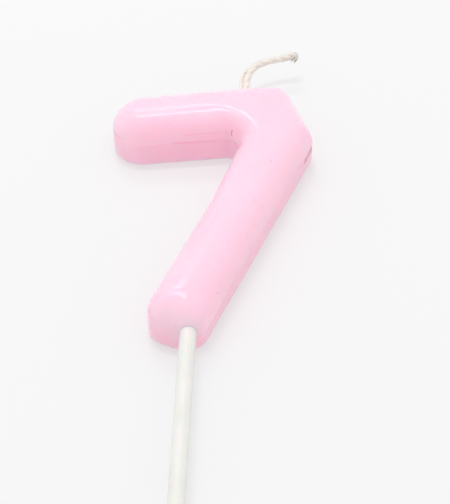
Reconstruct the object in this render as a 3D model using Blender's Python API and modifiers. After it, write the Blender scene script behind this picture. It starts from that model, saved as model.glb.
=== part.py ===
"""Number birthday candle: a moulded wax numeral 7 with a plied cotton wick and a pick for the cake.

The candle lies on its flat back. +Z points out of its rounded front, +Y points up the numeral towards the
wick and +X points along the bar of the 7 towards its right-hand corner. Units are metres.
"""
from math import cos, pi, radians, sin, sqrt

import bmesh
import bpy
from mathutils import Matrix, Vector

MM = 0.001

# Numeral: its sharp outline, before the corners are rounded
TOP_EDGE = 29.6 * MM            # straight top edge, from the bar's left end to the shoulder
BAR_WIDTH = 10.0 * MM           # stroke width of the bar
SHOULDER_EDGE = 12.3 * MM       # slanted edge from the top edge down to the right-hand corner
SHOULDER_LEAN = radians(14.5)   # its angle from the numeral's upright
STEM_LENGTH = 48.0 * MM         # from the right-hand corner down to the foot
STEM_WIDTH = 9.8 * MM           # stroke width of the stem
STEM_LEAN = radians(29.0)       # the stem's angle from the numeral's upright
THICKNESS = 9.0 * MM            # from the flat back to the crest of the front

# Roundings of the numeral
BAR_END_ROUND = 5.0 * MM        # half the bar's width, so that its left end is a half circle
SHOULDER_ROUND = 2.6 * MM
RIGHT_CORNER_ROUND = 1.8 * MM
FOOT_RIGHT_ROUND = 3.7 * MM
FOOT_LEFT_ROUND = 3.1 * MM
INNER_CORNER_ROUND = 2.2 * MM
FRONT_ROUND = 3.9 * MM          # edge between the side walls and the front
BACK_ROUND = 1.2 * MM           # edge between the side walls and the flat back
CREST_ROUND = 0.8 * MM          # no outer corner gets much sharper than this as it goes over the front
FULLEST_ROUND = 0.495           # a corner's radius is at most this share of its stroke
CORNER_STEPS = 8                # straight pieces in one rounded corner
FRONT_STEPS = 7                 # straight pieces in the front rounding
BACK_STEPS = 3                  # straight pieces in the back rounding
SHARP_ANGLE = radians(30.0)
UPWARD = Vector((0.0, 0.0, 1.0))

# Pick: a round stick cast into the foot at mid thickness
PICK_DIAMETER = 2.5 * MM
PICK_FREE = 38.0 * MM           # length below the foot
PICK_IN_WAX = 13.0 * MM         # length cast into the stem
PICK_LEAN = radians(8.5)        # the pick's angle from the numeral's upright
PICK_OFFSET = 3.1 * MM          # where the pick leaves the foot, from the stem's middle towards its right side
PICK_POINT_LENGTH = 6.0 * MM
PICK_POINT_DIAMETER = 0.8 * MM
PICK_CHAMFER = 0.3 * MM
PICK_SIDES = 24

# Wick: one cord, cast into the wax as far as the pick and free above the bar
WICK_DIAMETER = 1.2 * MM
WICK_STEPS = 5                  # points of the tube between two points of its route
WICK_ROUTE_MM = (
    (12.7, -38.0, 4.5), (16.0, -32.0, 4.5), (20.4, -24.0, 4.5), (23.7, -18.2, 4.5), (25.1, -13.5, 4.5),
    (24.8, -9.5, 4.5), (23.6, -5.0, 4.5), (22.7, -1.0, 4.5), (22.7, 2.2, 4.5), (23.5, 4.9, 4.55),
    (25.1, 8.0, 4.6), (27.8, 9.25, 4.65), (30.4, 9.75, 4.7), (32.6, 10.05, 4.7))

GAP = 0.3 * MM                  # clearance round what is cast into the wax
WELD = 0.01 * MM                # points closer than this are one point
OVERCUT = 5.0 * MM              # how far a cutter runs past the surface it opens

PARTS_NAME = "number_birthday_candle"
WAX_PINK = (0.93, 0.47, 0.66, 1.0)
WAX_ROUGHNESS = 0.28
COTTON_CREAM = (0.80, 0.72, 0.58, 1.0)
COTTON_ROUGHNESS = 0.9
PICK_WHITE = (0.84, 0.84, 0.78, 1.0)
PICK_ROUGHNESS = 0.45


def clear_scene():
    """Removes every object, so that the model starts from nothing."""
    for item in list(bpy.data.objects):
        bpy.data.objects.remove(item, do_unlink=True)


def new_collection(name):
    """A collection linked to the scene."""
    collection = bpy.data.collections.new(name)
    bpy.context.scene.collection.children.link(collection)
    return collection


def new_material(name, colour, roughness):
    """A Principled BSDF of one colour."""
    material = bpy.data.materials.new(name)
    material.use_nodes = True
    shader = material.node_tree.nodes["Principled BSDF"]
    shader.inputs["Base Color"].default_value = colour
    shader.inputs["Roughness"].default_value = roughness
    shader.inputs["Metallic"].default_value = 0.0
    return material


def object_from_bmesh(shape, name, collection):
    """Turns a bmesh into an object in a collection."""
    mesh = bpy.data.meshes.new(name)
    shape.to_mesh(mesh)
    shape.free()
    item = bpy.data.objects.new(name, mesh)
    collection.objects.link(item)
    return item


def hide_cutter(item):
    """Marks an object as a cutter."""
    item.hide_render = True
    item.display_type = "WIRE"


def downward(lean):
    """Direction that runs down the numeral and leans to the left by an angle."""
    return Vector((-sin(lean), -cos(lean), 0.0))


def rightward(lean):
    """Direction at right angles to downward(lean), towards the right."""
    return Vector((cos(lean), -sin(lean), 0.0))


def outline_corners():
    """Sharp corners of the 7, clockwise from the bar's top left, each with its rounding and stroke width."""
    top_left = Vector((0.0, 0.0, 0.0))
    shoulder = Vector((TOP_EDGE, 0.0, 0.0))
    right_corner = shoulder + SHOULDER_EDGE * downward(-SHOULDER_LEAN)
    foot_right = right_corner + STEM_LENGTH * downward(STEM_LEAN)
    foot_left = foot_right - STEM_WIDTH * rightward(STEM_LEAN)
    climb = (-BAR_WIDTH - foot_left.y) / cos(STEM_LEAN)
    inner_corner = foot_left - climb * downward(STEM_LEAN)
    bar_bottom = Vector((0.0, -BAR_WIDTH, 0.0))
    return (
        (top_left, BAR_END_ROUND, BAR_WIDTH), (shoulder, SHOULDER_ROUND, BAR_WIDTH),
        (right_corner, RIGHT_CORNER_ROUND, STEM_WIDTH), (foot_right, FOOT_RIGHT_ROUND, STEM_WIDTH),
        (foot_left, FOOT_LEFT_ROUND, STEM_WIDTH), (inner_corner, INNER_CORNER_ROUND, STEM_WIDTH),
        (bar_bottom, BAR_END_ROUND, BAR_WIDTH))


def corner_radius(rounding, stroke, inset, hollow):
    """Radius of a corner once the outline is drawn in by an inset."""
    if hollow:
        return rounding + inset
    shrunk = rounding - inset
    softened = (shrunk + CREST_ROUND + sqrt((shrunk - CREST_ROUND) ** 2 + CREST_ROUND ** 2)) / 2
    return min(softened, FULLEST_ROUND * (stroke - 2 * inset))


def rounded_corner(before, corner, after, rounding, stroke, inset):
    """Points along one corner of the outline, drawn in by an inset and rounded."""
    arriving = (corner - before).normalized()
    leaving = (after - corner).normalized()
    into_wax = arriving.cross(UPWARD), leaving.cross(UPWARD)
    hollow = arriving.cross(leaving).z > 0
    radius = corner_radius(rounding, stroke, inset, hollow)
    bisector = (into_wax[0] + into_wax[1]).normalized()
    slant = bisector.dot(into_wax[0])
    towards_centre = -radius if hollow else radius
    centre = corner + bisector * (inset + towards_centre) / slant
    turn = arriving.angle(leaving)
    spoke = -into_wax[0] * towards_centre
    sense = 1 if hollow else -1
    return [
        centre + Matrix.Rotation(sense * turn * step / CORNER_STEPS, 3, "Z") @ spoke
        for step in range(CORNER_STEPS + 1)]


def outline(inset):
    """The 7's rounded outline, drawn in by an inset all the way round."""
    corners = outline_corners()
    points = []
    for index, (corner, rounding, stroke) in enumerate(corners):
        before = corners[index - 1][0]
        after = corners[(index + 1) % len(corners)][0]
        points += rounded_corner(before, corner, after, rounding, stroke, inset)
    return points


def wall_levels():
    """Height and inset of each outline of the numeral, from the flat back to the front."""
    levels = []
    for step in range(BACK_STEPS + 1):
        angle = (pi / 2) * (1 - step / BACK_STEPS)
        levels.append((BACK_ROUND * (1 - sin(angle)), BACK_ROUND * (1 - cos(angle))))
    for step in range(FRONT_STEPS + 1):
        angle = (pi / 2) * step / FRONT_STEPS
        levels.append((THICKNESS - FRONT_ROUND * (1 - sin(angle)), FRONT_ROUND * (1 - cos(angle))))
    return levels


def add_wax_body(collection):
    """The numeral: outlines of the 7 lofted from its flat back, up its walls and over its rounded front."""
    shape = bmesh.new()
    rings = []
    for height, inset in wall_levels():
        rings.append([shape.verts.new((point.x, point.y, height)) for point in outline(inset)])
    for lower, upper in zip(rings, rings[1:]):
        for index in range(len(lower)):
            shape.faces.new((lower[index - 1], upper[index - 1], upper[index], lower[index]))
    shape.faces.new(rings[0])
    shape.faces.new(list(reversed(rings[-1])))
    item = object_from_bmesh(shape, "wax_body", collection)
    item.data.shade_smooth()
    item.data.set_sharp_from_angle(angle=SHARP_ANGLE)
    item.data.materials.append(new_material("pink_wax", WAX_PINK, WAX_ROUGHNESS))
    return item


def cut(item, cutter, name):
    """Takes a cutter out of a part."""
    boolean = item.modifiers.new(name, "BOOLEAN")
    boolean.operation = "DIFFERENCE"
    boolean.solver = "EXACT"
    boolean.object = cutter
    hide_cutter(cutter)


def pick_exit():
    """Where the pick's axis leaves the foot."""
    corners = outline_corners()
    foot_right, foot_left = corners[3][0], corners[4][0]
    middle = (foot_right + foot_left) / 2
    return middle + PICK_OFFSET * rightward(STEM_LEAN) + Vector((0.0, 0.0, THICKNESS / 2))


def lay_along_pick(item):
    """Places an object whose own Z axis is the pick's axis, with its origin where the pick leaves the foot."""
    tipped = Matrix.Rotation(-PICK_LEAN, 4, "Z") @ Matrix.Rotation(-pi / 2, 4, "X")
    item.matrix_world = Matrix.Translation(pick_exit()) @ tipped


def add_pick(collection):
    """The pick: a turned stick with a chamfered head inside the wax and a blunt point."""
    radius = PICK_DIAMETER / 2
    profile = (
        (0.0, PICK_IN_WAX), (radius - PICK_CHAMFER, PICK_IN_WAX), (radius, PICK_IN_WAX - PICK_CHAMFER),
        (radius, PICK_POINT_LENGTH - PICK_FREE), (PICK_POINT_DIAMETER / 2, -PICK_FREE), (0.0, -PICK_FREE))
    shape = bmesh.new()
    points = [shape.verts.new((x, 0.0, z)) for x, z in profile]
    for first, second in zip(points, points[1:]):
        shape.edges.new((first, second))
    item = object_from_bmesh(shape, "pick", collection)
    lay_along_pick(item)
    turn = item.modifiers.new("turning", "SCREW")
    turn.steps = PICK_SIDES
    turn.render_steps = PICK_SIDES
    turn.use_merge_vertices = True
    turn.merge_threshold = WELD
    turn.use_smooth_shade = True
    item.data.materials.append(new_material("pick_plastic", PICK_WHITE, PICK_ROUGHNESS))
    return item


def add_pick_socket(cutters):
    """Cutter for the blind hole that the pick is cast into."""
    depth = PICK_IN_WAX + GAP
    length = depth + OVERCUT
    shape = bmesh.new()
    radius = PICK_DIAMETER / 2 + GAP
    bmesh.ops.create_cone(
        shape, cap_ends=True, segments=PICK_SIDES, radius1=radius, radius2=radius, depth=length,
        matrix=Matrix.Translation((0.0, 0.0, depth - length / 2)))
    item = object_from_bmesh(shape, "pick_socket_cutter", cutters)
    lay_along_pick(item)
    return item


def smooth_route(route, steps):
    """Points along a Catmull-Rom curve through a route."""
    held = [2 * route[0] - route[1]] + route + [2 * route[-1] - route[-2]]
    points = []
    for a, b, c, d in zip(held, held[1:], held[2:], held[3:]):
        for step in range(steps):
            t = step / steps
            points.append(0.5 * (
                2 * b + t * (c - a) + t * t * (2 * a - 5 * b + 4 * c - d) + t ** 3 * (3 * b - a - 3 * c + d)))
    points.append(route[-1])
    return points


def add_tube(name, points, diameter, collection):
    """A round tube with filled ends along a list of points."""
    curve = bpy.data.curves.new(name, "CURVE")
    curve.dimensions = "3D"
    curve.bevel_depth = diameter / 2
    curve.bevel_resolution = 2
    curve.use_fill_caps = True
    spline = curve.splines.new("POLY")
    spline.points.add(len(points) - 1)
    for place, point in zip(spline.points, points):
        place.co = (*point, 1.0)
    item = bpy.data.objects.new(name, curve)
    collection.objects.link(item)
    return item


def mesh_from_curve(item, collection):
    """Replaces a curve object by a closed mesh, so that it can cut."""
    name = item.name
    bpy.context.view_layer.update()
    mesh = bpy.data.meshes.new_from_object(item.evaluated_get(bpy.context.evaluated_depsgraph_get()))
    shape = bmesh.new()
    shape.from_mesh(mesh)
    bpy.data.meshes.remove(mesh)
    bmesh.ops.remove_doubles(shape, verts=shape.verts, dist=WELD)
    place = item.matrix_world.copy()
    bpy.data.objects.remove(item, do_unlink=True)
    solid = object_from_bmesh(shape, name, collection)
    solid.matrix_world = place
    return solid


def wick_route():
    """The wick's route as vectors in metres, from its end inside the wax to its cut tip."""
    return [MM * Vector(point) for point in WICK_ROUTE_MM]


def add_wick(collection):
    """The wick: a plain tube of the cord's diameter."""
    item = add_tube("wick", smooth_route(wick_route(), WICK_STEPS), WICK_DIAMETER, collection)
    item.data.materials.append(new_material("wick_cotton", COTTON_CREAM, COTTON_ROUGHNESS))
    return item


def add_wick_channel(cutters):
    """Cutter for the channel that the wick is cast into; it ends just past the wick and opens at the bar."""
    inside = [point for point in wick_route() if point.y < OVERCUT]
    points = smooth_route(inside, WICK_STEPS)
    inward = (points[0] - points[1]).normalized()
    points[0] = points[0] + GAP * inward
    tube = add_tube("wick_channel_cutter", points, WICK_DIAMETER + 2 * GAP, cutters)
    return mesh_from_curve(tube, cutters)


def box_of(items):
    """Lowest and highest corners of some objects' evaluated geometry."""
    bpy.context.view_layer.update()
    graph = bpy.context.evaluated_depsgraph_get()
    spots = []
    for item in items:
        shown = item.evaluated_get(graph)
        spots += [item.matrix_world @ vertex.co for vertex in shown.to_mesh().vertices]
        shown.to_mesh_clear()
    low = Vector([min(spot[axis] for spot in spots) for axis in range(3)])
    high = Vector([max(spot[axis] for spot in spots) for axis in range(3)])
    return low, high


def stand_on_origin(parts, cutters):
    """Parents everything to one empty and moves the origin to the middle of the base."""
    low, high = box_of(parts)
    origin = bpy.data.objects.new("candle_origin", None)
    parts[0].users_collection[0].objects.link(origin)
    for item in parts + cutters:
        item.parent = origin
    origin.location = (-(low.x + high.x) / 2, -(low.y + high.y) / 2, -low.z)


def main():
    clear_scene()
    parts = new_collection(PARTS_NAME)
    cutters = new_collection("cutters")
    wax_body = add_wax_body(parts)
    pick = add_pick(parts)
    wick = add_wick(parts)
    socket = add_pick_socket(cutters)
    channel = add_wick_channel(cutters)
    cut(wax_body, socket, "pick_socket")
    cut(wax_body, channel, "wick_channel")
    stand_on_origin([wax_body, pick, wick], [socket, channel])
    bpy.context.view_layer.update()


main()
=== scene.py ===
"""Looks of the number birthday candle: moulded pink wax, a plied cotton wick and an off-white pick."""
import random
from functools import cache
from math import cos, exp, pi, radians, sin, sqrt

import bmesh
import bpy
from mathutils import Matrix, Vector, noise


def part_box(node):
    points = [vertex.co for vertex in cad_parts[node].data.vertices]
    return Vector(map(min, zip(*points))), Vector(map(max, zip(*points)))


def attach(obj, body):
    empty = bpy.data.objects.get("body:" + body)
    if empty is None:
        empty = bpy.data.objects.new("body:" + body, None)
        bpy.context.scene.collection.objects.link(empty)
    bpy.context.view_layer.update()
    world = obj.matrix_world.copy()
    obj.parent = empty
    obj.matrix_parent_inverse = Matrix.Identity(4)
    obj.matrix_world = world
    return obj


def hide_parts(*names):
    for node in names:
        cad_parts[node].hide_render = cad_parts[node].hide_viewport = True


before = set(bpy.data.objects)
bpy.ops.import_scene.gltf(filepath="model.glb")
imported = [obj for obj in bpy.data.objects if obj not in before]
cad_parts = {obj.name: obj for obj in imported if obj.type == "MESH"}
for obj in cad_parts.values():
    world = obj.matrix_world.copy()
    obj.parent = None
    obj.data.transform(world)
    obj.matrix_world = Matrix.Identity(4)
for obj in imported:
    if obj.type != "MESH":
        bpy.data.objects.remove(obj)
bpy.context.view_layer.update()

MM = 0.001
SEED = 7

# Places on the candle are given from the numeral's own corner: left end and top edge of the bar, flat back
WAX_LOW, WAX_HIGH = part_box("wax_body")
NUMERAL_LEFT = WAX_LOW.x
NUMERAL_TOP = WAX_HIGH.y
MIDDLE = (WAX_HIGH.z - WAX_LOW.z) / 2

# Outline of the 7, within about half a millimetre of the frame's own except at the inner corner
TOP_EDGE = 29.7 * MM
BAR_WIDTH = 10.0 * MM
SHOULDER_EDGE = 12.4 * MM
SHOULDER_LEAN = radians(14.5)
STEM_LENGTH = 48.0 * MM
STEM_WIDTH = 9.8 * MM
STEM_LEAN = radians(29.15)
INNER_CORNER_FILL = 1.2 * MM    # how far the inner corner stands to the left of the stem's straight edge
FILL_LENGTH = 18.0 * MM         # how far down the stem's left edge that fades away
BAR_END_ROUND = 5.0 * MM
BAR_END_LOWER_ROUND = 4.8 * MM
BAR_END_STRETCH = 1.25          # the end's upper corner is longer along the bar than across it
SHOULDER_ROUND = 2.6 * MM
RIGHT_CORNER_ROUND = 1.5 * MM
FOOT_RIGHT_ROUND = 3.7 * MM
FOOT_LEFT_ROUND = 3.5 * MM
INNER_CORNER_ROUND = 2.0 * MM
FILL_ROUND = 30.0 * MM          # where the fill meets the stem's straight edge
HOLLOW_GROWTH = 1.45            # how fast a hollow corner opens out as the outline is drawn in
CREST_ROUND = 0.8 * MM          # no outer corner gets much sharper than this as it goes over the front
FULLEST_ROUND = 0.495           # a corner's radius is at most this share of its stroke
CORNER_STEPS = 20               # straight pieces in one rounded corner
UPWARD = Vector((0.0, 0.0, 1.0))

# Cross-section of the wax: a nearly upright back half and a swelling front half, which meet at the seam
BACK_ROUND = 1.0 * MM
BACK_DRAFT = 0.10 * MM
BACK_STEPS = 8
FRONT_HEIGHT = 4.58 * MM
FRONT_HALF_WIDTH = 5.0 * MM
FRONT_POWER = 2.4               # 2 is an ellipse; more is flatter on top and fuller at the edges
FRONT_START = radians(8.0)      # how far round the ellipse the front half leaves the seam
FRONT_STEPS = 30
FRONT_STOP = 4.75 * MM          # how far in the front half is drawn before it is closed flat
VOXEL = 0.17 * MM
SMOOTHING_PASSES = 10
FLAT_SKIN = 0.12 * MM           # points of the back that are lower than this lie on the table
WALL_SLOPE = 0.6                # a normal with less height than this belongs to a side wall

# Faults of the casting
WAVE_HEIGHT = 0.045 * MM
WAVE_LENGTH = 7.0 * MM
RIPPLE_HEIGHT = 0.012 * MM
RIPPLE_LENGTH = 1.8 * MM
SEAM_LEVEL = MIDDLE + 0.3 * MM  # height of the parting line along the bar
SEAM_WANDER = 0.5 * MM
SEAM_DIPS_MM = (                # place, how far the parting line drops there (or rises, if negative), reach
    ((32.4, -12.5, 4.0), 1.1, 7.0), ((12.0, -51.0, 3.5), 1.4, 13.0),
    ((0.5, -7.0, 5.0), -0.3, 6.0))
SEAM_SHOWN_MM = (               # the runs of the parting line that show
    ((11.0, -10.0, 4.8), (19.5, -10.0, 4.8)), ((0.1, -6.4, 5.1), (0.3, -7.2, 5.1)),
    ((32.4, -14.0, 3.7), (20.8, -36.0, 3.5)))
SEAM_HEIGHT = 0.035 * MM
SEAM_HALF_WIDTH = 0.22 * MM
SWELLS_MM = (                   # place, how far the wax stands out there (or in, if negative), and reach
    ((20.5, 0.0, 7.5), 0.22, 13.0), ((6.5, -45.0, 9.0), 0.07, 4.5), ((6.9, -50.4, 6.7), -0.42, 4.4))
COLLAR_RISE = 0.30 * MM         # how far the wax climbs the pick and the wick
PICK_COLLAR_REACH = 2.3 * MM
WICK_COLLAR_REACH = 1.5 * MM
NICK_MM = ((32.5, -11.6, 4.0), (32.4, -12.8, 3.7), (32.1, -13.9, 3.5), (31.4, -15.4, 3.4))
NICK_STEPS = 5
NICK_DEPTH = 0.14 * MM
NICK_REACH = 0.60 * MM

# Marks of the wax (a flow line above the seam, specks and smudges) and places with painted shade or light
FLOW_LINE_MM = ((11.8, -9.8, 6.0), (13.5, -9.8, 6.3), (16.0, -9.8, 6.2), (18.8, -9.8, 6.3))
SPECKS_MM = ((30.1, -10.8, 8.5), (14.6, -47.2, 7.0), (24.6, -20.5, 9.0))
SPECK_CURL_MM = ((19.4, -9.9, 6.7), (19.65, -9.7, 6.4), (19.35, -9.9, 6.1), (19.55, -9.9, 5.7))
SMUDGES_MM = ((21.0, -28.3, 8.0), (22.4, -33.6, 7.5), (21.0, -37.5, 7.2), (23.4, -30.5, 7.4))
PAINTED_SHADE_ENDS_MM = (                     # place, how far the end's painted shade is full, and where it has faded away
    ((6.0, -51.5, 4.5), 3.0, 6.0), ((0.3, -5.8, 5.2), 1.2, 6.0))
# Centre of the painted light in the inner corner
PAINTED_LIGHT_INNER_CORNER_MM = (18.5, -10.0, 2.5)
# Line along the right wall that gets painted shade
PAINTED_SHADE_RIGHT_WALL_MM = ((32.6, -13.0, 2.0), (12.5, -49.0, 2.0))

# Pick
PICK_RADIUS = 1.25 * MM
PICK_FREE = 38.0 * MM
PICK_IN_WAX = 13.0 * MM
PICK_LEAN = radians(8.5)
PICK_OFFSET = 3.1 * MM
PICK_POINT_LENGTH = 6.0 * MM
PICK_POINT_RADIUS = 0.4 * MM
PICK_POINT_POWER = 1.15         # 1 is a straight taper
PICK_TIP_LENGTH = 0.2 * MM      # the rounded end of the point
PICK_EDGE = 0.25 * MM
PICK_SIDES = 48
PICK_RINGS = 120
PICK_POINT_RINGS = 24
PICK_FLASH = 0.03 * MM          # height of the moulding flash on its two sides
PICK_FLASH_SPREAD = 0.06        # half its width, as a share of the pick's radius
PICK_UNEVENNESS = 0.008 * MM

# Wick route in the numeral's own millimetres: across, up, out of the table
WICK_ROUTE_MM = (
    (12.7, -38.0, 4.5), (16.0, -32.0, 4.5), (20.4, -24.0, 4.5), (23.7, -18.2, 4.5), (25.1, -13.5, 4.5),
    (24.8, -9.5, 4.5), (23.6, -5.0, 4.5), (22.7, -1.0, 4.5), (22.8, 0.8, 4.5), (23.3, 2.9, 4.5),
    (23.7, 5.0, 4.55), (24.5, 7.0, 4.6), (26.0, 8.7, 4.6), (28.4, 9.6, 4.65), (30.8, 9.95, 4.7),
    (32.9, 10.3, 4.7))
WICK_EXIT_MM = (22.7, 0.3, 4.5)
WICK_REACH = 0.62 * MM          # from the cord's middle to the outside of a ply
PLY_RADIUS = 0.42 * MM
PLY_PITCH = 5.5 * MM
PLY_WOBBLE = 0.03 * MM
PLY_LUMPS = 0.10                # how uneven a ply is, as a share of its radius
TIP_OPENING = 0.9               # how much further apart the plies stand at the cut tip, as a share
TIP_OPENING_REACH = 1.6 * MM
TIP_TAPER = 0.25                # how much thinner a ply gets over the last part of its length
TIP_TAPER_PART = 0.015
WICK_NECK = 0.84                # width of the cord just outside the wax, as a share of its full width
WICK_NECK_MM = (2.0, 8.0)       # heights above the bar between which the cord fills out
PLY_SIDES = 14
PLY_PHASES = (0.0, 1 / 3, 2 / 3)
ROUTE_STEPS = 20
STRAY_PLY_MM = (                # a looser strand up the left side of the cord
    (22.6, -1.2, 4.5), (22.45, 0.8, 4.5), (22.45, 3.0, 4.5), (22.65, 4.7, 4.55), (23.1, 6.3, 4.6),
    (24.05, 7.5, 4.7), (25.2, 8.3, 4.75))
STRAY_RADIUS = 0.31 * MM
STRAY_STEPS = 10

# Fibres that stand off the wick: how many, then their least and greatest length and radius, and their curl
FUZZ_COUNT = 260
FUZZ_FIBRE_MM = ((0.3, 1.0), (0.010, 0.018), 0.35)
FRAY_COUNT = 60
FRAY_FIBRE_MM = ((0.4, 0.8), (0.03, 0.06), 0.12)
BARB_COUNT = 18
BARB_FIBRE_MM = ((0.7, 1.15), (0.10, 0.16), 0.15)
FIBRE_TAPER = 0.7
FIBRE_STEPS = 5
FIBRE_SIDES = 4

# Camera
LENS_MM = 165.68                # on Blender's sensor of 36 mm
CAMERA_ELEVATION = radians(45.0)
CAMERA_TURN = radians(6.3)
CAMERA_DISTANCE = 331.3 * MM
AIM_MM = (15.9, -31.4)

# Light: a pale surround that is brighter overhead, and two long strips
OVERHEAD_STRENGTH = 0.945
SURROUND_STRENGTH = 0.87
OVERHEAD_LEAN_FORWARD = radians(6.0)
OVERHEAD_INSIDE = radians(42.0)
OVERHEAD_OUTSIDE = radians(68.0)
OVERHEAD_WIDENING = 1.5         # how much wider it is from left to right than from front to back
LIGHT_AIM_MM = (16.0, -26.0)
STRIP_DISTANCE = 0.6
STRIPS = (                      # name, lean back and left in degrees, length, width, share of the light
    ("strip_back", 38.0, 4.5, 0.17, 0.085, 0.08), ("strip_front", 12.0, 4.5, 0.19, 0.045, 0.18))
FLOOR_REACH = 2.0
FLOOR_COLOUR = (0.41, 0.41, 0.415, 1.0)
FLOOR_GLOW = 0.441
FLOOR_ROUGHNESS = 0.9

# Colours of the wax
PINK = (0.97, 0.615, 0.735, 1.0)
PINK_CLOUD = (0.98, 0.635, 0.755, 1.0)
PINK_BLOOM = (0.96, 0.66, 0.78, 1.0)
# Painted shade: deeper pink under the seam
PINK_PAINTED_SHADE_UNDER_SEAM = (0.94, 0.46, 0.60, 1.0)
# Painted shade on the right wall
PINK_PAINTED_SHADE_RIGHT_WALL = (0.99, 0.47, 0.61, 1.0)
# Painted light in the inner corner
PINK_PAINTED_LIGHT_INNER_CORNER = (1.0, 0.68, 0.81, 1.0)
# Painted shade at the two ends, darker low down and paler high up
PINK_PAINTED_SHADE_END_LOW = (0.89, 0.55, 0.67, 1.0)
PINK_PAINTED_SHADE_END_HIGH = (0.89, 0.67, 0.77, 1.0)
SEAM_RED = (0.82, 0.30, 0.45, 1.0)
NICK_BROWN = (0.52, 0.21, 0.18, 1.0)
SPECK_BROWN = (0.45, 0.12, 0.16, 1.0)

# How strongly each of those covers the pink, at most
BLOOM_SHARE = 0.35
# The next three are painted: shade under the seam, shade on the right wall, light in the inner corner
PAINTED_SHADE_UNDER_SEAM_SHARE = 0.32
PAINTED_SHADE_RIGHT_WALL_SHARE = 0.3
PAINTED_LIGHT_INNER_CORNER_SHARE = 0.35
SEAM_SHARE = 0.38
NICK_SHARE = 0.85
SPECK_SHARE = 0.60
FLOW_LINE_SHARE = 0.45          # of the seam's own strength
SMUDGE_SHARE = 0.10             # of the nick's own strength
SCATTERED_SPECK_SHARE = 0.8     # of the specks' own strength

# How light passes through the wax, and its gloss
WAX_GLOW_RADII = (2.6, 0.35, 0.45)
WAX_GLOW_DEPTH = 2.0 * MM
WAX_GLOW_SHARE = 0.85
WAX_ROUGHNESS = (0.18, 0.25)    # least and most

# Colours of the wick and the pick
COTTON_SHADE = (0.78, 0.73, 0.66, 1.0)
COTTON_PALE = (0.85, 0.81, 0.75, 1.0)
COTTON_TIP = (0.50, 0.47, 0.40, 1.0)
COTTON_WAXED = (0.95, 0.80, 0.78, 1.0)
PICK_SHADE = (0.755, 0.762, 0.724, 1.0)
PICK_PALE = (0.795, 0.797, 0.765, 1.0)
PICK_GRAIN = (0.67, 0.665, 0.62, 1.0)
PICK_SMEAR = (0.95, 0.72, 0.82, 1.0)


def numeral(across, up, out=0.0):
    """A place on the candle, from the numeral's own coordinates in metres."""
    return Vector((NUMERAL_LEFT + across, NUMERAL_TOP + up, out))


def numeral_mm(place):
    """A place on the candle, from the numeral's own coordinates in millimetres."""
    return numeral(place[0] * MM, place[1] * MM, place[2] * MM)


def downward(lean):
    """Direction that runs down the numeral and leans to the left by an angle."""
    return Vector((-sin(lean), -cos(lean), 0.0))


def rightward(lean):
    """Direction at right angles to downward(lean), towards the right."""
    return Vector((cos(lean), -sin(lean), 0.0))


# ---------------------------------------------------------------------------------------------------------
# Camera, light and floor


def add_camera():
    data = bpy.data.cameras.new("camera")
    data.sensor_fit = "HORIZONTAL"
    data.lens = LENS_MM
    data.dof.use_dof = False
    data.clip_start = 0.01
    item = bpy.data.objects.new("camera", data)
    bpy.context.scene.collection.objects.link(item)
    aim = numeral(AIM_MM[0] * MM, AIM_MM[1] * MM)
    level = Vector((sin(CAMERA_TURN), cos(CAMERA_TURN), 0.0))
    away = level * -cos(CAMERA_ELEVATION) + UPWARD * sin(CAMERA_ELEVATION)
    item.location = aim + away * CAMERA_DISTANCE
    item.rotation_euler = (-away).to_track_quat("-Z", "Y").to_euler()
    bpy.context.scene.camera = item


def add_strip(name, lean_back, lean_left, length, width, share, aim):
    """A long lamp; share is its part of the light on the floor."""
    back, left = radians(lean_back), radians(lean_left)
    direction = Vector((-sin(left), sin(back) * cos(left), cos(back) * cos(left)))
    data = bpy.data.lights.new(name, "AREA")
    data.shape = "RECTANGLE"
    data.size, data.size_y = length, width
    data.energy = share * (pi * STRIP_DISTANCE) ** 2 / direction.z
    item = bpy.data.objects.new(name, data)
    bpy.context.scene.collection.objects.link(item)
    item.location = aim + STRIP_DISTANCE * direction
    across = Vector((1.0, 0.0, 0.0))
    up = direction.cross(across).normalized()
    across = up.cross(direction).normalized()
    item.rotation_euler = Matrix((across, up, direction)).transposed().to_euler()


def add_surround():
    """A world that is bright overhead, in a band from left to right, and dimmer towards the horizon."""
    world = bpy.data.worlds.new("studio")
    bpy.context.scene.world = world
    world.use_nodes = True
    tree = world.node_tree
    place = tree.nodes.new("ShaderNodeTexCoord")
    narrowed = tree.nodes.new("ShaderNodeVectorMath")
    narrowed.operation = "MULTIPLY"
    narrowed.inputs[1].default_value = (1 / OVERHEAD_WIDENING, 1.0, 1.0)
    direction = tree.nodes.new("ShaderNodeVectorMath")
    direction.operation = "NORMALIZE"
    dot = tree.nodes.new("ShaderNodeVectorMath")
    dot.operation = "DOT_PRODUCT"
    dot.inputs[1].default_value = (0.0, -sin(OVERHEAD_LEAN_FORWARD), cos(OVERHEAD_LEAN_FORWARD))
    fade = tree.nodes.new("ShaderNodeMapRange")
    fade.interpolation_type = "SMOOTHSTEP"
    fade.inputs["From Min"].default_value = cos(OVERHEAD_OUTSIDE)
    fade.inputs["From Max"].default_value = cos(OVERHEAD_INSIDE)
    fade.inputs["To Min"].default_value = SURROUND_STRENGTH
    fade.inputs["To Max"].default_value = OVERHEAD_STRENGTH
    background = tree.nodes["Background"]
    background.inputs["Color"].default_value = (1.0, 1.0, 1.0, 1.0)
    tree.links.new(place.outputs["Generated"], narrowed.inputs[0])
    tree.links.new(narrowed.outputs["Vector"], direction.inputs[0])
    tree.links.new(direction.outputs["Vector"], dot.inputs[0])
    tree.links.new(dot.outputs["Value"], fade.inputs["Value"])
    tree.links.new(fade.outputs["Result"], background.inputs["Strength"])


def add_studio():
    add_surround()
    aim = numeral(LIGHT_AIM_MM[0] * MM, LIGHT_AIM_MM[1] * MM)
    for strip in STRIPS:
        add_strip(*strip, aim)
    bpy.context.scene.view_settings.view_transform = "Standard"


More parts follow.
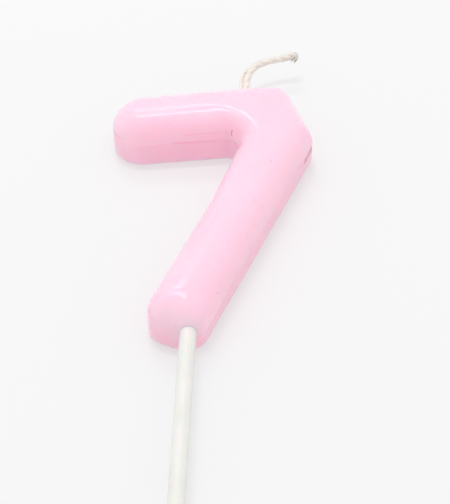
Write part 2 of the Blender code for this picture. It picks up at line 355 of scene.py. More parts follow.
def add_floor():
    mesh = bpy.data.meshes.new("floor")
    shape = bmesh.new()
    bmesh.ops.create_grid(shape, x_segments=1, y_segments=1, size=FLOOR_REACH)
    shape.to_mesh(mesh)
    shape.free()
    floor = bpy.data.objects.new("floor", mesh)
    bpy.context.scene.collection.objects.link(floor)
    material = bpy.data.materials.new("floor_white")
    material.use_nodes = True
    shader = material.node_tree.nodes["Principled BSDF"]
    shader.inputs["Base Color"].default_value = FLOOR_COLOUR
    shader.inputs["Roughness"].default_value = FLOOR_ROUGHNESS
    shader.inputs["Emission Color"].default_value = (1.0, 1.0, 1.0, 1.0)
    shader.inputs["Emission Strength"].default_value = FLOOR_GLOW
    mesh.materials.append(material)


# ---------------------------------------------------------------------------------------------------------
# Mesh helpers


def object_from_bmesh(shape, name):
    mesh = bpy.data.meshes.new(name)
    shape.to_mesh(mesh)
    shape.free()
    item = bpy.data.objects.new(name, mesh)
    bpy.context.scene.collection.objects.link(item)
    return item


def apply_modifiers(item):
    """Puts an object's modifiers into its mesh."""
    bpy.context.view_layer.update()
    graph = bpy.context.evaluated_depsgraph_get()
    mesh = bpy.data.meshes.new_from_object(item.evaluated_get(graph), depsgraph=graph)
    old = item.data
    item.modifiers.clear()
    item.data = mesh
    bpy.data.meshes.remove(old)


def scale_mesh(item, factor):
    item.data.transform(Matrix.Scale(factor, 4))


def smooth_route(route, steps):
    """Points along a Catmull-Rom curve through a route."""
    held = [2 * route[0] - route[1]] + route + [2 * route[-1] - route[-2]]
    points = []
    for a, b, c, d in zip(held, held[1:], held[2:], held[3:]):
        for step in range(steps):
            t = step / steps
            square = t * t * (2 * a - 5 * b + 4 * c - d)
            cube = t ** 3 * (3 * b - a - 3 * c + d)
            points.append(0.5 * (2 * b + t * (c - a) + square + cube))
    points.append(route[-1])
    return points


def frames_along(points):
    """At each point of a line: the point, its direction and two directions across it that don't twist."""
    directions = []
    for index in range(len(points)):
        before = points[max(index - 1, 0)]
        after = points[min(index + 1, len(points) - 1)]
        directions.append((after - before).normalized())
    side = directions[0].cross(UPWARD)
    frames = []
    for point, direction in zip(points, directions):
        side = (side - side.dot(direction) * direction).normalized()
        frames.append((point, direction, side, direction.cross(side)))
    return frames


def lengths_along(points):
    """Length of a line up to each of its points."""
    lengths = [0.0]
    for before, after in zip(points, points[1:]):
        lengths.append(lengths[-1] + (after - before).length)
    return lengths


def add_tube(shape, points, radius_at, sides):
    """Adds a closed tube along a line to a bmesh; radius_at takes the share of the way along and the angle.

    The UV map runs round the tube in turns and along it in millimetres, for streaks that follow the fibres.
    """
    layer = shape.loops.layers.uv.verify()
    lengths = lengths_along(points)
    rings = []
    for index, (point, _, side, other) in enumerate(frames_along(points)):
        share = index / (len(points) - 1)
        ring = []
        for step in range(sides):
            angle = 2 * pi * step / sides
            spoke = cos(angle) * side + sin(angle) * other
            ring.append(shape.verts.new(point + radius_at(share, angle) * spoke))
        rings.append(ring)
    for index in range(len(rings) - 1):
        for step in range(sides):
            after = (step + 1) % sides
            face = shape.faces.new(
                (rings[index][step], rings[index][after], rings[index + 1][after], rings[index + 1][step]))
            turns = (step, step + 1, step + 1, step)
            ends = (index, index, index + 1, index + 1)
            for loop, turn, end in zip(face.loops, turns, ends):
                loop[layer].uv = (turn / sides, lengths[end] / MM)
    shape.faces.new(list(reversed(rings[0])))
    shape.faces.new(rings[-1])


# ---------------------------------------------------------------------------------------------------------
# Material helpers


class Nodes:
    """Short calls for building one material's node tree. Places are in object space, in metres."""

    def __init__(self, name):
        self.material = bpy.data.materials.new(name)
        self.material.use_nodes = True
        self.tree = self.material.node_tree
        self.shader = self.tree.nodes["Principled BSDF"]
        coordinates = self.new("ShaderNodeTexCoord")
        self.place = coordinates.outputs["Object"]
        self.uv = coordinates.outputs["UV"]

    def new(self, kind, **settings):
        node = self.tree.nodes.new(kind)
        for key, value in settings.items():
            setattr(node, key, value)
        return node

    def feed(self, socket, value):
        """Links a socket to an output, or sets it to a plain value."""
        if isinstance(value, bpy.types.NodeSocket):
            self.tree.links.new(value, socket)
        else:
            socket.default_value = value

    def set(self, **values):
        """Sets uniform values on the shader; an underscore in a name stands for a space."""
        for key, value in values.items():
            self.shader.inputs[key.replace("_", " ")].default_value = value

    def math(self, operation, first, second=0.0, clamp=False):
        """One sum or product; clamp keeps it between 0 and 1."""
        node = self.new("ShaderNodeMath", operation=operation, use_clamp=clamp)
        self.feed(node.inputs[0], first)
        self.feed(node.inputs[1], second)
        return node.outputs[0]

    def stretched(self, place, scales):
        """A place with each of its coordinates scaled by its own factor."""
        node = self.new("ShaderNodeVectorMath", operation="MULTIPLY")
        self.feed(node.inputs[0], place)
        node.inputs[1].default_value = scales
        return node.outputs["Vector"]

    def noise(self, scale, detail=3.0, roughness=0.5, place=None, distortion=0.0):
        node = self.new("ShaderNodeTexNoise")
        self.feed(node.inputs["Vector"], place or self.place)
        node.inputs["Scale"].default_value = scale
        node.inputs["Detail"].default_value = detail
        node.inputs["Roughness"].default_value = roughness
        node.inputs["Distortion"].default_value = distortion
        return node.outputs["Fac"]

    def cells(self, scale):
        """Distance from the nearest of many scattered points, in cell sizes."""
        node = self.new("ShaderNodeTexVoronoi")
        self.feed(node.inputs["Vector"], self.place)
        node.inputs["Scale"].default_value = scale
        return node.outputs["Distance"]

    def ramp(self, value, low, high, to_low=0.0, to_high=1.0):
        """Maps a value from one range to another, smoothly and without passing its ends."""
        node = self.new("ShaderNodeMapRange", interpolation_type="SMOOTHSTEP")
        self.feed(node.inputs["Value"], value)
        for key, number in (("From Min", low), ("From Max", high), ("To Min", to_low), ("To Max", to_high)):
            node.inputs[key].default_value = number
        return node.outputs["Result"]

    def mix(self, share, first, second):
        """The first colour at a share of 0 and the second at 1."""
        node = self.new("ShaderNodeMix", data_type="RGBA")
        self.feed(node.inputs[0], share)
        self.feed(node.inputs[6], first)
        self.feed(node.inputs[7], second)
        return node.outputs[2]

    def axis(self, name):
        """One coordinate of the place."""
        node = self.new("ShaderNodeSeparateXYZ")
        self.feed(node.inputs[0], self.place)
        return node.outputs[name]

    def bump(self, height, distance, normal=None):
        """A normal tilted by a height, on top of another bump's normal if there is one."""
        node = self.new("ShaderNodeBump")
        self.feed(node.inputs["Height"], height)
        node.inputs["Distance"].default_value = distance
        if normal is not None:
            self.feed(node.inputs["Normal"], normal)
        return node.outputs["Normal"]

    def near(self, centre, inside, outside):
        """1 within a distance of a place on the candle, fading to 0 at a larger distance."""
        node = self.new("ShaderNodeVectorMath", operation="DISTANCE")
        self.feed(node.inputs[0], self.place)
        node.inputs[1].default_value = tuple(centre)
        return self.ramp(node.outputs["Value"], inside, outside, 1.0, 0.0)

    def near_stretch(self, start, end, inside, outside):
        """1 within a distance of a straight line between two places, fading to 0 at a larger distance."""
        span = end - start
        away = self.new("ShaderNodeVectorMath", operation="SUBTRACT")
        self.feed(away.inputs[0], self.place)
        away.inputs[1].default_value = tuple(start)
        dot = self.new("ShaderNodeVectorMath", operation="DOT_PRODUCT")
        self.feed(dot.inputs[0], away.outputs["Vector"])
        dot.inputs[1].default_value = tuple(span / span.length_squared)
        share = self.math("ADD", dot.outputs["Value"], 0.0, clamp=True)
        along = self.new("ShaderNodeVectorMath", operation="SCALE")
        along.inputs[0].default_value = tuple(span)
        self.feed(along.inputs["Scale"], share)
        gap = self.new("ShaderNodeVectorMath", operation="DISTANCE")
        self.feed(gap.inputs[0], away.outputs["Vector"])
        self.feed(gap.inputs[1], along.outputs["Vector"])
        return self.ramp(gap.outputs["Value"], inside, outside, 1.0, 0.0)

    def near_line(self, places, inside, outside):
        """The same for a line that runs straight from each place to the next."""
        return self.most([
            self.near_stretch(start, end, inside, outside) for start, end in zip(places, places[1:])])

    def most(self, values):
        """The largest of several values."""
        result = values[0]
        for value in values[1:]:
            result = self.math("MAXIMUM", result, value)
        return result


# ---------------------------------------------------------------------------------------------------------
# Wax


def right_corners():
    """Sharp corners down the right side of the 7, and round to the foot's left side."""
    shoulder = numeral(TOP_EDGE, 0.0)
    right_corner = shoulder + SHOULDER_EDGE * downward(-SHOULDER_LEAN)
    foot_right = right_corner + STEM_LENGTH * downward(STEM_LEAN)
    foot_left = foot_right - STEM_WIDTH * rightward(STEM_LEAN)
    return shoulder, right_corner, foot_right, foot_left


def outline_corners():
    """Sharp corners of the 7 with their rounding and stroke width, clockwise from the bar's top left."""
    top_left = numeral(0.0, 0.0)
    shoulder, right_corner, foot_right, foot_left = right_corners()
    bar_bottom = numeral(0.0, -BAR_WIDTH)
    climb = (bar_bottom.y - foot_left.y) / cos(STEM_LEAN)
    inner_corner = foot_left - climb * downward(STEM_LEAN)
    fill_end = inner_corner + FILL_LENGTH * downward(STEM_LEAN)
    inner_corner.x -= INNER_CORNER_FILL
    return (
        (top_left, BAR_END_ROUND, BAR_WIDTH), (shoulder, SHOULDER_ROUND, BAR_WIDTH),
        (right_corner, RIGHT_CORNER_ROUND, STEM_WIDTH), (foot_right, FOOT_RIGHT_ROUND, STEM_WIDTH),
        (foot_left, FOOT_LEFT_ROUND, STEM_WIDTH), (fill_end, FILL_ROUND, STEM_WIDTH),
        (inner_corner, INNER_CORNER_ROUND, STEM_WIDTH), (bar_bottom, BAR_END_LOWER_ROUND, BAR_WIDTH))


def corner_radius(rounding, stroke, inset, hollow):
    """Radius of a corner once the outline is drawn in by an inset."""
    if hollow:
        return rounding + HOLLOW_GROWTH * inset
    shrunk = rounding - inset
    softened = (shrunk + CREST_ROUND + sqrt((shrunk - CREST_ROUND) ** 2 + CREST_ROUND ** 2)) / 2
    return min(softened, FULLEST_ROUND * (stroke - 2 * inset))


def rounded_corner(before, corner, after, rounding, stroke, inset):
    """Points along one corner of the outline, drawn in by an inset and rounded."""
    arriving = (corner - before).normalized()
    leaving = (after - corner).normalized()
    into_wax = arriving.cross(UPWARD), leaving.cross(UPWARD)
    hollow = arriving.cross(leaving).z > 0
    radius = corner_radius(rounding, stroke, inset, hollow)
    bisector = (into_wax[0] + into_wax[1]).normalized()
    slant = bisector.dot(into_wax[0])
    towards_centre = -radius if hollow else radius
    centre = corner + bisector * (inset + towards_centre) / slant
    turn = arriving.angle(leaving)
    spoke = -into_wax[0] * towards_centre
    sense = 1 if hollow else -1
    return [
        centre + Matrix.Rotation(sense * turn * step / CORNER_STEPS, 3, "Z") @ spoke
        for step in range(CORNER_STEPS + 1)]


def stretched_arc(arc):
    """The bar end's upper corner, drawn out along the bar from its first point."""
    left = arc[0].x
    return [Vector((left + (point.x - left) * BAR_END_STRETCH, point.y, 0.0)) for point in arc]


def outline(inset):
    """The 7's rounded outline, drawn in by an inset all the way round."""
    corners = outline_corners()
    points = []
    for index, (corner, rounding, stroke) in enumerate(corners):
        before = corners[index - 1][0]
        after = corners[(index + 1) % len(corners)][0]
        arc = rounded_corner(before, corner, after, rounding, stroke, inset)
        if index == 0:
            arc = stretched_arc(arc)
        points += arc
    return points


def back_levels():
    """Height and inset of the outlines from the flat back up to the seam."""
    levels = []
    for step in range(BACK_STEPS + 1):
        angle = (pi / 2) * step / BACK_STEPS
        levels.append((BACK_ROUND * (1 - cos(angle)), BACK_DRAFT + BACK_ROUND * (1 - sin(angle))))
    levels.append((MIDDLE, 0.0))
    return levels


def front_levels():
    """Height and inset of the outlines from the seam over the swelling front."""
    power = 2 / FRONT_POWER
    first_height = sin(FRONT_START) ** power
    first_width = cos(FRONT_START) ** power
    levels = []
    for step in range(1, FRONT_STEPS + 1):
        angle = FRONT_START + (pi / 2 - FRONT_START) * step / FRONT_STEPS
        inset = FRONT_HALF_WIDTH * (1 - max(cos(angle), 0.0) ** power / first_width)
        if inset < FRONT_STOP:
            share = (sin(angle) ** power - first_height) / (1 - first_height)
            levels.append((MIDDLE + FRONT_HEIGHT * share, inset))
    return levels


def add_wax_loft():
    """The 7 as one closed loft."""
    shape = bmesh.new()
    rings = []
    for height, inset in back_levels() + front_levels():
        rings.append([shape.verts.new((point.x, point.y, height)) for point in outline(inset)])
    for lower, upper in zip(rings, rings[1:]):
        for index in range(len(lower)):
            shape.faces.new((lower[index - 1], upper[index - 1], upper[index], lower[index]))
    shape.faces.new(rings[0])
    shape.faces.new(list(reversed(rings[-1])))
    return object_from_bmesh(shape, "wax_body_fine")


def soften(item):
    """Gives a loft an even fine mesh and melts its creases, at a thousand times its size."""
    scale_mesh(item, 1 / MM)
    remesh = item.modifiers.new("remesh", "REMESH")
    remesh.mode = "VOXEL"
    remesh.voxel_size = VOXEL / MM
    smooth = item.modifiers.new("smooth", "SMOOTH")
    smooth.factor = 0.5
    smooth.iterations = SMOOTHING_PASSES
    apply_modifiers(item)
    scale_mesh(item, MM)


def wave(place, length):
    """Smooth noise between about -1 and 1."""
    return noise.noise(place / length)


def swell(distance, reach):
    """1 at no distance, falling smoothly to 0 at a reach."""
    return max(0.0, 1 - (distance / reach) ** 2) ** 2


def seam_level(place):
    """Height of the mould's parting line near a place."""
    level = SEAM_LEVEL
    for centre, drop, reach in SEAM_DIPS_MM:
        level -= drop * MM * swell((place - numeral_mm(centre)).length, reach * MM)
    return level


@cache
def nick_points():
    """Places along the nick at the right-hand corner."""
    return smooth_route([numeral_mm(place) for place in NICK_MM], NICK_STEPS)


def casting_fault(place, normal):
    """How far the wax stands out from its ideal shape at a place."""
    rise = WAVE_HEIGHT * wave(place, WAVE_LENGTH) + RIPPLE_HEIGHT * wave(place, RIPPLE_LENGTH)
    for centre, height, reach in SWELLS_MM:
        rise += height * MM * swell((place - numeral_mm(centre)).length, reach * MM)
    if abs(normal.z) < WALL_SLOPE:
        seam = exp(-((place.z - seam_level(place)) / SEAM_HALF_WIDTH) ** 2)
        rise += SEAM_HEIGHT * seam * (1 + 0.6 * wave(place, 1.5 * MM))
    nearest = min((place - point).length for point in nick_points())
    return rise - NICK_DEPTH * swell(nearest, NICK_REACH)


def distance_to_axis(place, start, direction):
    away = place - start
    return (away - away.dot(direction) * direction).length


def collar(place, start, direction, reach):
    """How far the wax climbs a stick or cord at a place near its exit."""
    if (place - start).length > 2 * reach:
        return 0.0
    return COLLAR_RISE * swell(distance_to_axis(place, start, direction), reach)


def weather(item):
    """Gives the ideal casting its waviness, seam, nick, and the collars round the pick and the wick."""
    pick_place, pick_direction = pick_axis()
    wick_place, wick_direction = numeral_mm(WICK_EXIT_MM), Vector((0.0, 1.0, 0.0))
    normals = [vertex.normal.copy() for vertex in item.data.vertices]
    for vertex, normal in zip(item.data.vertices, normals):
        place = vertex.co.copy()
        if place.z < FLAT_SKIN and normal.z < -0.9:
            vertex.co.z = 0.0
            continue
        place += casting_fault(place, normal) * normal
        place += collar(place, pick_place, pick_direction, PICK_COLLAR_REACH) * pick_direction
        place += collar(place, wick_place, wick_direction, WICK_COLLAR_REACH) * wick_direction
        place.z = max(place.z, 0.0)
        vertex.co = place


def pick_axis():
    """Where the pick's axis leaves the foot, and its direction away from the wax."""
    _, _, foot_right, foot_left = right_corners()
    middle = (foot_right + foot_left) / 2
    place = middle + PICK_OFFSET * rightward(STEM_LEAN) + MIDDLE * UPWARD
    return place, downward(PICK_LEAN)


def wick_route():
    """Points of the wick's middle line, from its end inside the wax to its cut tip."""
    return smooth_route([numeral_mm(place) for place in WICK_ROUTE_MM], ROUTE_STEPS)


def add_wax_body():
    item = add_wax_loft()
    soften(item)
    weather(item)
    item.data.shade_smooth()
    item.data.materials.clear()
    item.data.materials.append(wax_material(item))
    return item


def on_surface(item, places):
    """The nearest points of a piece's surface to some places."""
    bpy.context.view_layer.update()
    return [item.closest_point_on_mesh(numeral_mm(place))[1] for place in places]


def above_seam(nodes):
    """Height above the parting line, in metres."""
    height = nodes.axis("Z")
    for centre, drop, reach in SEAM_DIPS_MM:
        dip = nodes.near(numeral_mm(centre), 0.0, reach * MM)
        height = nodes.math("ADD", height, nodes.math("MULTIPLY", dip, drop * MM))
    wander = nodes.math("MULTIPLY", nodes.math("SUBTRACT", nodes.noise(300.0), 0.5), SEAM_WANDER)
    return nodes.math("SUBTRACT", nodes.math("ADD", height, wander), SEAM_LEVEL)


def wax_seam(nodes, item, height):
    """1 on the thin line where the mould's halves met, in the few runs where it shows.

    A fainter flow line runs above it along the bar.
    """
    line = nodes.ramp(nodes.math("ABSOLUTE", height), 0.05 * MM, 0.28 * MM, 1.0, 0.0)
    runs = [[numeral_mm(place) for place in run] for run in SEAM_SHOWN_MM]
    shown = nodes.most([nodes.near_line(run, 0.8 * MM, 2.2 * MM) for run in runs])
    line = nodes.math("MULTIPLY", line, shown)
    line = nodes.math("MULTIPLY", line, nodes.ramp(nodes.noise(260.0), 0.30, 0.60, 0.25, 1.0))
    flow = nodes.near_line(on_surface(item, FLOW_LINE_MM), 0.03 * MM, 0.20 * MM)
    return nodes.math("MAXIMUM", line, nodes.math("MULTIPLY", flow, FLOW_LINE_SHARE))


def wax_specks(nodes, item):
    """1 on the dark specks near the inner corner and on a few scattered ones."""
    spots = [nodes.near(place, 0.03 * MM, 0.20 * MM) for place in on_surface(item, SPECKS_MM)]
    spots.append(nodes.near_line(on_surface(item, SPECK_CURL_MM), 0.02 * MM, 0.14 * MM))
    scattered = nodes.ramp(nodes.cells(260.0), 0.010, 0.028, 1.0, 0.0)
    return nodes.most(spots + [nodes.math("MULTIPLY", scattered, SCATTERED_SPECK_SHARE)])


def wax_marks(nodes, item):
    """1 in the dirty nick at the right-hand corner, and less on the smudges down the stem's shoulder."""
    nick = nodes.near_line(on_surface(item, NICK_MM), 0.15 * MM, 0.95 * MM)
    nick = nodes.math("MULTIPLY", nick, nodes.ramp(nodes.noise(1100.0), 0.30, 0.60, 0.35, 1.0))
    smudge = nodes.most([nodes.near(place, 0.3 * MM, 2.4 * MM) for place in on_surface(item, SMUDGES_MM)])
    patches = nodes.ramp(nodes.noise(900.0, 4.0), 0.45, 0.65, 0.0, SMUDGE_SHARE)
    smudge = nodes.math("MULTIPLY", smudge, patches)
    return nodes.math("MAXIMUM", nick, smudge)


def pink_with_painted_shade_and_light(nodes, height):
    """Pink with paler clouds; painted shade: deeper under the seam and on the right wall, greyer at the two
    ends; painted light in the inner corner.
    """
    cloud = nodes.ramp(nodes.noise(110.0, 4.0, 0.55, distortion=0.4), 0.30, 0.70)
    colour = nodes.mix(cloud, PINK, PINK_CLOUD)
    # Painted shade at the two ends
    ends = nodes.most([
        nodes.near(numeral_mm(place), inside * MM, outside * MM) for place, inside, outside in PAINTED_SHADE_ENDS_MM])
    # Painted shade: deeper pink below the seam
    under = nodes.ramp(height, -0.25 * MM, 0.15 * MM, PAINTED_SHADE_UNDER_SEAM_SHARE, 0.0)
    under = nodes.math("MULTIPLY", under, nodes.math("SUBTRACT", 1.0, ends))
    colour = nodes.mix(under, colour, PINK_PAINTED_SHADE_UNDER_SEAM)
    # The ends' painted shade is darker low down
    painted_end_shade_height = nodes.ramp(nodes.axis("Z"), 0.5 * MM, 7.5 * MM)
    colour = nodes.mix(ends, colour, nodes.mix(painted_end_shade_height, PINK_PAINTED_SHADE_END_LOW, PINK_PAINTED_SHADE_END_HIGH))
    # Painted shade along the right wall
    wall = nodes.near_line([numeral_mm(place) for place in PAINTED_SHADE_RIGHT_WALL_MM], 0.8 * MM, 3.2 * MM)
    colour = nodes.mix(nodes.math("MULTIPLY", wall, PAINTED_SHADE_RIGHT_WALL_SHARE), colour, PINK_PAINTED_SHADE_RIGHT_WALL)
    # Painted light in the inner corner
    corner = nodes.near(numeral_mm(PAINTED_LIGHT_INNER_CORNER_MM), 1.0 * MM, 7.0 * MM)
    return nodes.mix(nodes.math("MULTIPLY", corner, PAINTED_LIGHT_INNER_CORNER_SHARE), colour, PINK_PAINTED_LIGHT_INNER_CORNER)


def wax_colour(nodes, height, seam, specks, marks):
    """The pink with its painted shade and light and its bloom, and on it the seam, the nick and smudges,
    and the specks.
    """
    colour = pink_with_painted_shade_and_light(nodes, height)
    bloom = nodes.ramp(nodes.noise(900.0, 6.0, 0.65), 0.52, 0.75, 0.0, BLOOM_SHARE)
    colour = nodes.mix(bloom, colour, PINK_BLOOM)
    colour = nodes.mix(nodes.math("MULTIPLY", seam, SEAM_SHARE), colour, SEAM_RED)
    colour = nodes.mix(nodes.math("MULTIPLY", marks, NICK_SHARE), colour, NICK_BROWN)
    return nodes.mix(nodes.math("MULTIPLY", specks, SPECK_SHARE), colour, SPECK_BROWN)


def wax_bump(nodes, seam):
    """Pits, a fine skin, and drag marks down the walls from drawing the candle out of its mould."""
    pits = nodes.ramp(nodes.cells(420.0), 0.04, 0.14)
    normal = nodes.bump(pits, 0.006 * MM)
    normal = nodes.bump(nodes.noise(1400.0, 5.0, 0.6), 0.006 * MM, normal)
    drag = nodes.noise(1.0, 3.0, 0.6, place=nodes.stretched(nodes.place, (2400.0, 2400.0, 180.0)))
    walls = nodes.ramp(nodes.axis("Z"), MIDDLE, MIDDLE + 1.2 * MM, 1.0, 0.0)
    normal = nodes.bump(nodes.math("MULTIPLY", drag, walls), 0.012 * MM, normal)
    return nodes.bump(seam, 0.02 * MM, normal)


def wax_material(item):
    nodes = Nodes("pink_wax_fine")
    height = above_seam(nodes)
    seam = wax_seam(nodes, item, height)
    specks = wax_specks(nodes, item)
    colour = wax_colour(nodes, height, seam, specks, wax_marks(nodes, item))
    nodes.feed(nodes.shader.inputs["Base Color"], colour)
    roughness = nodes.ramp(nodes.noise(150.0, 2.0, 0.5), 0.30, 0.70, *WAX_ROUGHNESS)
    nodes.feed(nodes.shader.inputs["Roughness"], roughness)
    nodes.feed(nodes.shader.inputs["Normal"], wax_bump(nodes, seam))
    nodes.set(Subsurface_Weight=WAX_GLOW_SHARE, Subsurface_Scale=WAX_GLOW_DEPTH)
    nodes.set(Subsurface_Radius=WAX_GLOW_RADII, IOR=1.45, Specular_IOR_Level=0.38)
    return nodes.material


# ---------------------------------------------------------------------------------------------------------
# Wick


def fullness(point):
    """Width of the cord at a place, as a share of its full width; it is drawn in as it leaves the wax."""
    if point.y < NUMERAL_TOP:
        return 1.0
    low, high = (NUMERAL_TOP + number * MM for number in WICK_NECK_MM)
    share = min(max((point.y - low) / (high - low), 0.0), 1.0)
    return WICK_NECK + (1 - WICK_NECK) * share * share * (3 - 2 * share)


def ply_points(middle_line, phase):
    """Middle line of one ply, which winds round the cord and opens out at the cut tip."""
    lengths = lengths_along(middle_line)
    points = []
    for length, (point, _, side, other) in zip(lengths, frames_along(middle_line)):
        angle = 2 * pi * (length / PLY_PITCH + phase)
        from_tip = lengths[-1] - length
        opening = 1 + TIP_OPENING * swell(from_tip, TIP_OPENING_REACH)
        spread = (WICK_REACH - PLY_RADIUS) * fullness(point) * opening
        wobble = PLY_WOBBLE * wave(point + phase * Vector((0.0, 0.0, 0.05)), 1.3 * MM)
        points.append(point + (spread + wobble) * (cos(angle) * side + sin(angle) * other))
    return points


def ply_radius(points, phase, radius):
    """Radius of a ply along its length: slightly lumpy, and tapered at the very end."""
    def radius_at(share, angle):
        lump = noise.noise(Vector((share * 60, phase * 9, cos(angle) * 0.8)))
        taper = 1 - TIP_TAPER * max(0.0, share - (1 - TIP_TAPER_PART)) / TIP_TAPER_PART
        point = points[round(share * (len(points) - 1))]
        return radius * fullness(point) * (1 + PLY_LUMPS * lump) * taper
    return radius_at


def add_fibre(shape, start, direction, kind, dice):
    """A thin fibre that curls away from its start; kind is one of the FIBRE_MM values."""
    lengths, radii, curl = kind
    length = dice.uniform(*lengths) * MM
    radius = dice.uniform(*radii) * MM
    points = [start]
    heading = direction.normalized()
    for _ in range(FIBRE_STEPS):
        turn = Vector((dice.uniform(-1, 1), dice.uniform(-1, 1), dice.uniform(-1, 1)))
        heading = (heading + curl * turn).normalized()
        points.append(points[-1] + heading * length / FIBRE_STEPS)
    add_tube(shape, points, lambda share, angle: radius * (1 - FIBRE_TAPER * share), FIBRE_SIDES)


def add_fuzz(shape, middle_line, dice):
    """Short fibres that stand off the free part of the cord."""
    frames = frames_along(middle_line)
    free = [item for item in frames if item[0].y > NUMERAL_TOP + 0.6 * MM]
    for _ in range(FUZZ_COUNT):
        point, direction, side, other = dice.choice(free)
        angle = dice.uniform(0, 2 * pi)
        spoke = cos(angle) * side + sin(angle) * other
        start = point + 0.92 * WICK_REACH * spoke
        heading = direction * dice.choice((-1, 1)) + dice.uniform(0.1, 0.8) * spoke
        add_fibre(shape, start, heading, FUZZ_FIBRE_MM, dice)


def add_fray(shape, middle_line, dice):
    """The cut tip's loose fibres."""
    point, direction, side, other = frames_along(middle_line)[-1]
    for _ in range(FRAY_COUNT):
        angle = dice.uniform(0, 2 * pi)
        spoke = cos(angle) * side + sin(angle) * other
        start = point + dice.uniform(0.1, 0.95) * WICK_REACH * spoke - 0.3 * MM * direction
        heading = direction + dice.uniform(0.0, 0.5) * spoke
        add_fibre(shape, start, heading, FRAY_FIBRE_MM, dice)


def add_barb(shape, middle_line, dice):
    """The barb of thicker fibres that hangs from the cut tip."""
    point, direction, _, _ = frames_along(middle_line)[-1]
    for _ in range(BARB_COUNT):
        aside = Vector((dice.uniform(-1, 1), -1.0, dice.uniform(-1, 1)))
        start = point - 0.2 * MM * direction + 0.40 * MM * aside
        heading = Vector((-0.45 + dice.uniform(-0.2, 0.2), -1.0, -0.15 + dice.uniform(-0.2, 0.2)))
        add_fibre(shape, start, heading, BARB_FIBRE_MM, dice)


def add_wick():
    dice = random.Random(SEED)
    middle_line = wick_route()
    shape = bmesh.new()
    for phase in PLY_PHASES:
        ply = ply_points(middle_line, phase)
        add_tube(shape, ply, ply_radius(ply, phase, PLY_RADIUS), PLY_SIDES)
    stray = smooth_route([numeral_mm(place) for place in STRAY_PLY_MM], STRAY_STEPS)
    add_tube(shape, stray, ply_radius(stray, 0.5, STRAY_RADIUS), PLY_SIDES)
    add_fuzz(shape, middle_line, dice)
    add_fray(shape, middle_line, dice)
    add_barb(shape, middle_line, dice)
    item = object_from_bmesh(shape, "wick_cord")
    item.data.shade_smooth()
    item.data.materials.append(wick_material())
    return item


def wick_material():
    """Cream cotton with streaks along its fibres, waxed and pinker at its foot and greyer at its tip."""
    nodes = Nodes("wick_cotton_fine")
    fibres = nodes.noise(1.0, 4.0, 0.65, place=nodes.stretched(nodes.uv, (14.0, 1.6, 1.0)))
    colour = nodes.mix(nodes.ramp(fibres, 0.30, 0.70), COTTON_SHADE, COTTON_PALE)
    tip = nodes.near(numeral_mm(WICK_ROUTE_MM[-1]), 0.4 * MM, 3.6 * MM)
    colour = nodes.mix(nodes.math("MULTIPLY", tip, 0.30), colour, COTTON_TIP)
    waxed = nodes.near(numeral_mm(WICK_EXIT_MM), 0.8 * MM, 4.5 * MM)
    colour = nodes.mix(nodes.math("MULTIPLY", waxed, 0.6), colour, COTTON_WAXED)
    nodes.feed(nodes.shader.inputs["Base Color"], colour)
    nodes.feed(nodes.shader.inputs["Roughness"], nodes.ramp(waxed, 0.0, 1.0, 0.88, 0.5))
    nodes.feed(nodes.shader.inputs["Normal"], nodes.bump(fibres, 0.03 * MM))
    return nodes.material


# ---------------------------------------------------------------------------------------------------------
# Pick


def pick_profile():
    """Distance along the pick from its end inside the wax, and its radius there."""
    length = PICK_IN_WAX + PICK_FREE
    profile = [
        (0.0, PICK_RADIUS - PICK_EDGE), (0.3 * PICK_EDGE, PICK_RADIUS - 0.45 * PICK_EDGE),
        (PICK_EDGE, PICK_RADIUS)]
    straight = length - PICK_POINT_LENGTH
    for step in range(1, PICK_RINGS + 1):
        profile.append((PICK_EDGE + (straight - PICK_EDGE) * step / PICK_RINGS, PICK_RADIUS))
    for step in range(1, PICK_POINT_RINGS + 1):
        share = step / PICK_POINT_RINGS
        taper = PICK_RADIUS - (PICK_RADIUS - PICK_POINT_RADIUS) * share ** PICK_POINT_POWER
        profile.append((straight + (PICK_POINT_LENGTH - PICK_TIP_LENGTH) * share, taper))
    profile.append((length - 0.3 * PICK_TIP_LENGTH, 0.75 * PICK_POINT_RADIUS))
    profile.append((length, 0.35 * PICK_POINT_RADIUS))
    return profile


def pick_ring_radius(along, radius, angle):
    """Radius at an angle: a moulding flash on two sides, and a little unevenness."""
    flash = PICK_FLASH * exp(-(sin(angle) / PICK_FLASH_SPREAD) ** 2)
    uneven = PICK_UNEVENNESS * noise.noise(Vector((along / (4 * MM), cos(angle), sin(angle))))
    return radius + flash + uneven


def add_pick_ring(shape, centre, side, along, radius):
    """Adds one ring of points round the pick."""
    ring = []
    for step in range(PICK_SIDES):
        angle = 2 * pi * step / PICK_SIDES
        spoke = cos(angle) * side + sin(angle) * UPWARD
        ring.append(shape.verts.new(centre + pick_ring_radius(along, radius, angle) * spoke))
    return ring


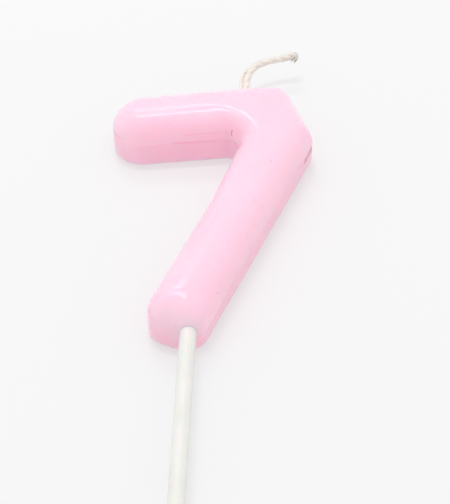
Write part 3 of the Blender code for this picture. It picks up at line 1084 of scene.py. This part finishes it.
def add_pick():
    place, direction = pick_axis()
    side = direction.cross(UPWARD).normalized()
    start = place - PICK_IN_WAX * direction
    shape = bmesh.new()
    rings = [
        add_pick_ring(shape, start + along * direction, side, along, radius)
        for along, radius in pick_profile()]
    for lower, upper in zip(rings, rings[1:]):
        for index in range(PICK_SIDES):
            shape.faces.new((lower[index - 1], lower[index], upper[index], upper[index - 1]))
    shape.faces.new(list(reversed(rings[0])))
    shape.faces.new(rings[-1])
    bmesh.ops.recalc_face_normals(shape, faces=shape.faces)
    item = object_from_bmesh(shape, "pick_stick")
    item.data.shade_smooth()
    item.data.materials.append(pick_material())
    return item


def pick_material():
    """Off-white plastic with streaks along the pick, and smeared with wax where it leaves the foot."""
    nodes = Nodes("pick_plastic_fine")
    cloud = nodes.noise(180.0, 4.0, 0.6)
    colour = nodes.mix(nodes.ramp(cloud, 0.3, 0.7), PICK_SHADE, PICK_PALE)
    grain = nodes.noise(1.0, 4.0, 0.6, place=nodes.stretched(nodes.place, (1500.0, 90.0, 1500.0)))
    colour = nodes.mix(nodes.ramp(grain, 0.50, 0.75, 0.0, 0.35), colour, PICK_GRAIN)
    place, _ = pick_axis()
    smear = nodes.near(place, 0.6 * MM, 2.6 * MM)
    smear = nodes.math("MULTIPLY", smear, nodes.ramp(nodes.noise(700.0, 4.0, 0.6), 0.40, 0.60, 0.0, 0.35))
    colour = nodes.mix(smear, colour, PICK_SMEAR)
    nodes.feed(nodes.shader.inputs["Base Color"], colour)
    nodes.feed(nodes.shader.inputs["Roughness"], nodes.ramp(grain, 0.3, 0.7, 0.36, 0.52))
    nodes.feed(nodes.shader.inputs["Normal"], nodes.bump(grain, 0.02 * MM))
    nodes.set(Subsurface_Weight=0.4, Subsurface_Scale=0.8 * MM)
    return nodes.material


# ---------------------------------------------------------------------------------------------------------


def place_piece(item, node):
    """Makes a piece stand for its CAD node."""
    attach(item, "root")
    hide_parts(node)


add_camera()
add_studio()
add_floor()
place_piece(add_wax_body(), "wax_body")
place_piece(add_wick(), "wick")
place_piece(add_pick(), "pick")
